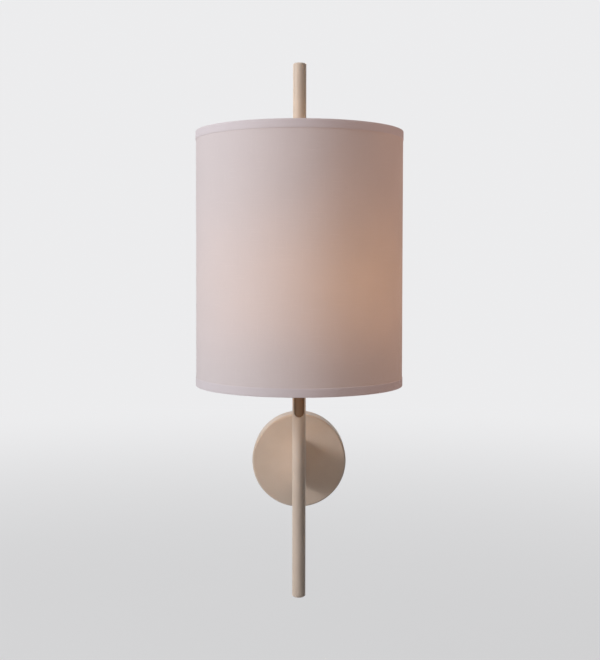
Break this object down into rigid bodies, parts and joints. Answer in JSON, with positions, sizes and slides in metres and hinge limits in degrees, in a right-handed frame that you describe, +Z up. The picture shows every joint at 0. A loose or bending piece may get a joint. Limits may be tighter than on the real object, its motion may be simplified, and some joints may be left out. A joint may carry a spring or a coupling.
{
  "type": "fabric shade wall light",
  "caption": "Wall light with a fabric drum shade on an upright painted rod, held by a flat arm on a round wall cover, with a candle bulb beside the rod.",
  "frame": {"origin": "middle of the wall bracket's back face, which is the middle of the round cover, on the wall", "axes": "+Z up along the rod, -Y out of the wall towards the room, +X to the right as seen from the room"},
  "size_m": [0.2016, 0.2158, 0.52],
  "materials": {
    "cream_paint": "satin powder coat",
    "zinc_steel": "zinc plated",
    "bronzed_steel": "dark bronze",
    "brass": "bright",
    "white_nylon": "moulded",
    "holder_plastic": "moulded",
    "holder_ceramic": "fired",
    "live_sheath": "brown sheath",
    "neutral_sheath": "blue sheath",
    "earth_sheath": "green and yellow sheath",
    "cap_metal": "nickel plated",
    "tip_metal": "solder",
    "black_glass": "black",
    "bulb_clear": "clear",
    "filament": "phosphor coated",
    "filament_steel": "drawn",
    "white_wire": "white coated wire",
    "liner": "translucent film",
    "shade_cloth": "plain weave",
    "trim_cloth": "plain weave"
  },
  "bodies": {
    "frame": {"wall_bracket": "zinc_steel", "earth_screw": "brass", "terminal_block": "white_nylon", "terminal_clamps": "brass", "terminal_screws": "brass", "block_screw": "zinc_steel", "cover": "cream_paint", "cover_grub_screws": "zinc_steel", "arm_foot": "zinc_steel", "arm_blade": "cream_paint", "earth_stud": "brass", "earth_tag": "brass", "rod_tube": "cream_paint", "rod_top_cap": "cream_paint", "rod_bottom_cap": "cream_paint", "rod_grommet": "white_nylon", "lead_pipe": "bronzed_steel", "holder_arm": "cream_paint", "holder_arm_screw": "zinc_steel", "nipple": "zinc_steel", "nipple_nut": "zinc_steel", "holder_base": "holder_plastic", "holder_skirt": "holder_plastic", "holder_core": "holder_ceramic", "thread_sleeve": "brass", "centre_contact": "brass", "lead_live": "live_sheath", "lead_neutral": "neutral_sheath", "lead_earth": "earth_sheath", "stop_collar": "cream_paint", "collar_screw": "zinc_steel"},
    "bulb": {"bulb_contact": "tip_metal", "bulb_insulator": "black_glass", "bulb_cap": "cap_metal", "bulb_glass": "bulb_clear", "bulb_stem": "bulb_clear", "bulb_filaments": "filament", "filament_wires": "filament_steel"},
    "bush": {"shade_bush": "white_nylon"},
    "shade": {"shade_hub": "white_wire", "shade_spokes": "white_wire", "top_ring": "white_wire", "bottom_ring": "white_wire", "shade_liner": "liner", "shade_fabric": "shade_cloth", "top_trim": "trim_cloth", "bottom_trim": "trim_cloth"}
  },
  "joints": [
    {"name": "shade_turn", "type": "hinge", "parent": "frame", "child": "bush", "pos_m": [0, -0.115, 0.31], "axis": [0, 0, 1], "continuous": true},
    {"name": "shade_lift", "type": "slide", "parent": "bush", "child": "shade", "axis": [0, 0, 1], "range_m": [0, 0.32]},
    {"name": "bulb_out", "type": "slide", "parent": "frame", "child": "bulb", "axis": [0, 0, 1], "range_m": [0, 0.03]}
  ]
}
